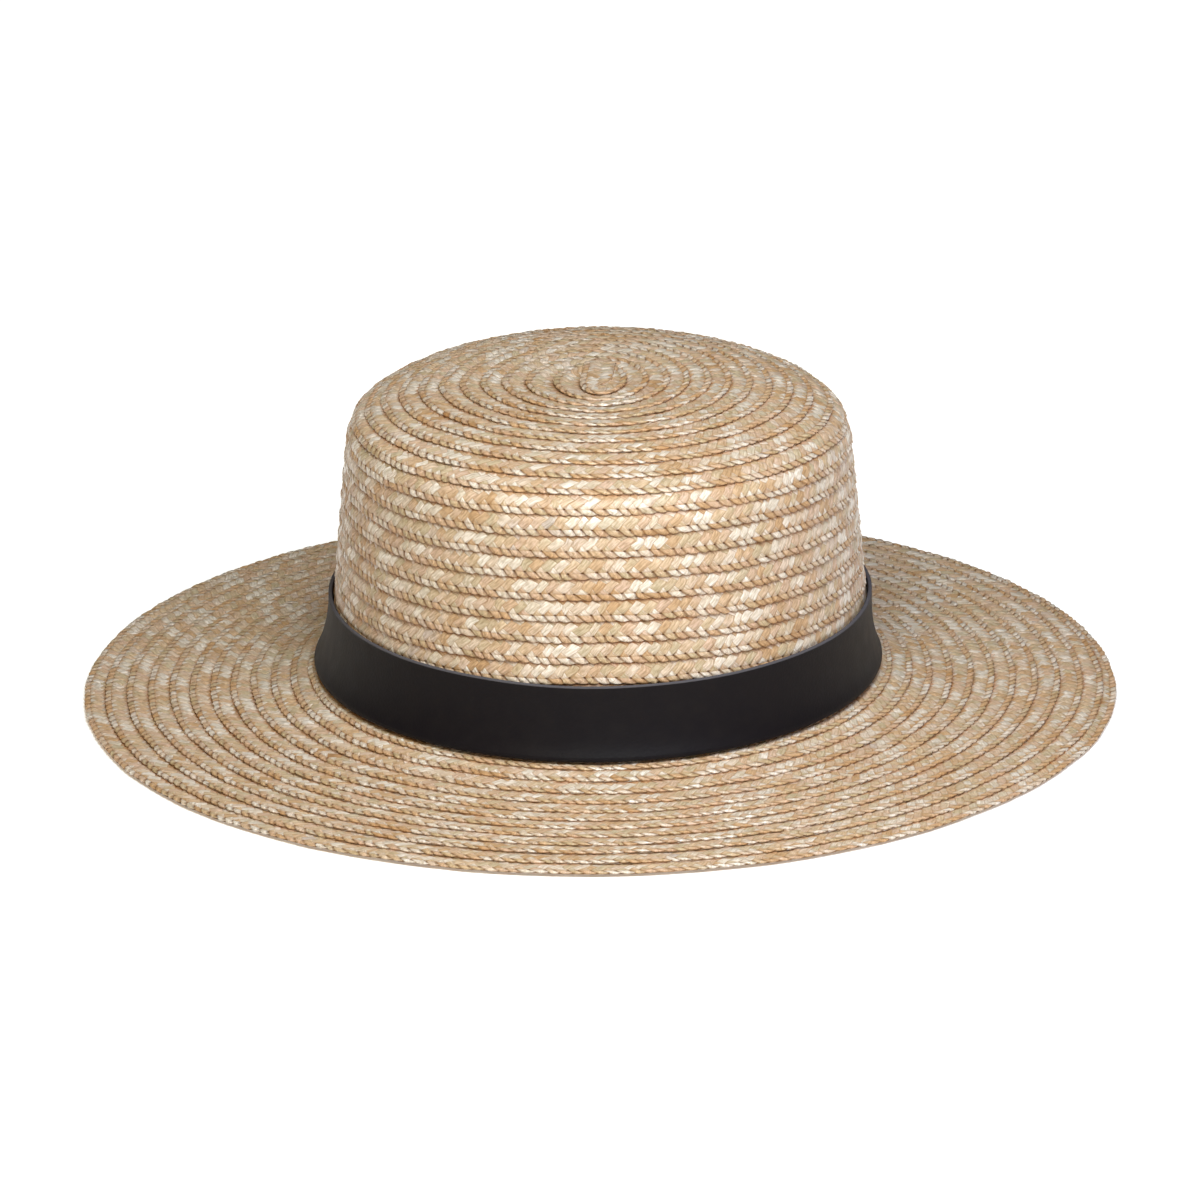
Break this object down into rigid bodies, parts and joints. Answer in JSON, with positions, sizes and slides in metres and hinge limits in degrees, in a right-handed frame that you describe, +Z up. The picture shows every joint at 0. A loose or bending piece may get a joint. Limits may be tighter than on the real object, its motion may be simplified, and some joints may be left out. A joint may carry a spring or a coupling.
{
  "type": "boater-style straw hat",
  "caption": "Flat-crowned boater-style straw hat with a wide level brim and a black leather band round the foot of the crown.",
  "frame": {"origin": "centre of the hat's footprint, on the surface it stands on", "axes": "+Z up out of the crown; +Y towards the back of the hat, along the long axis of the head; +X towards the wearer's left"},
  "size_m": [0.3294, 0.3604, 0.1012],
  "materials": {
    "plaited_straw": "natural wheat straw, sewn plait with a soft sheen",
    "black_leather": "smooth matt black with raw cut edges"
  },
  "bodies": {
    "root": {"crown": "plaited_straw", "brim": "plaited_straw", "hat_band": "black_leather"}
  },
  "joints": []
}
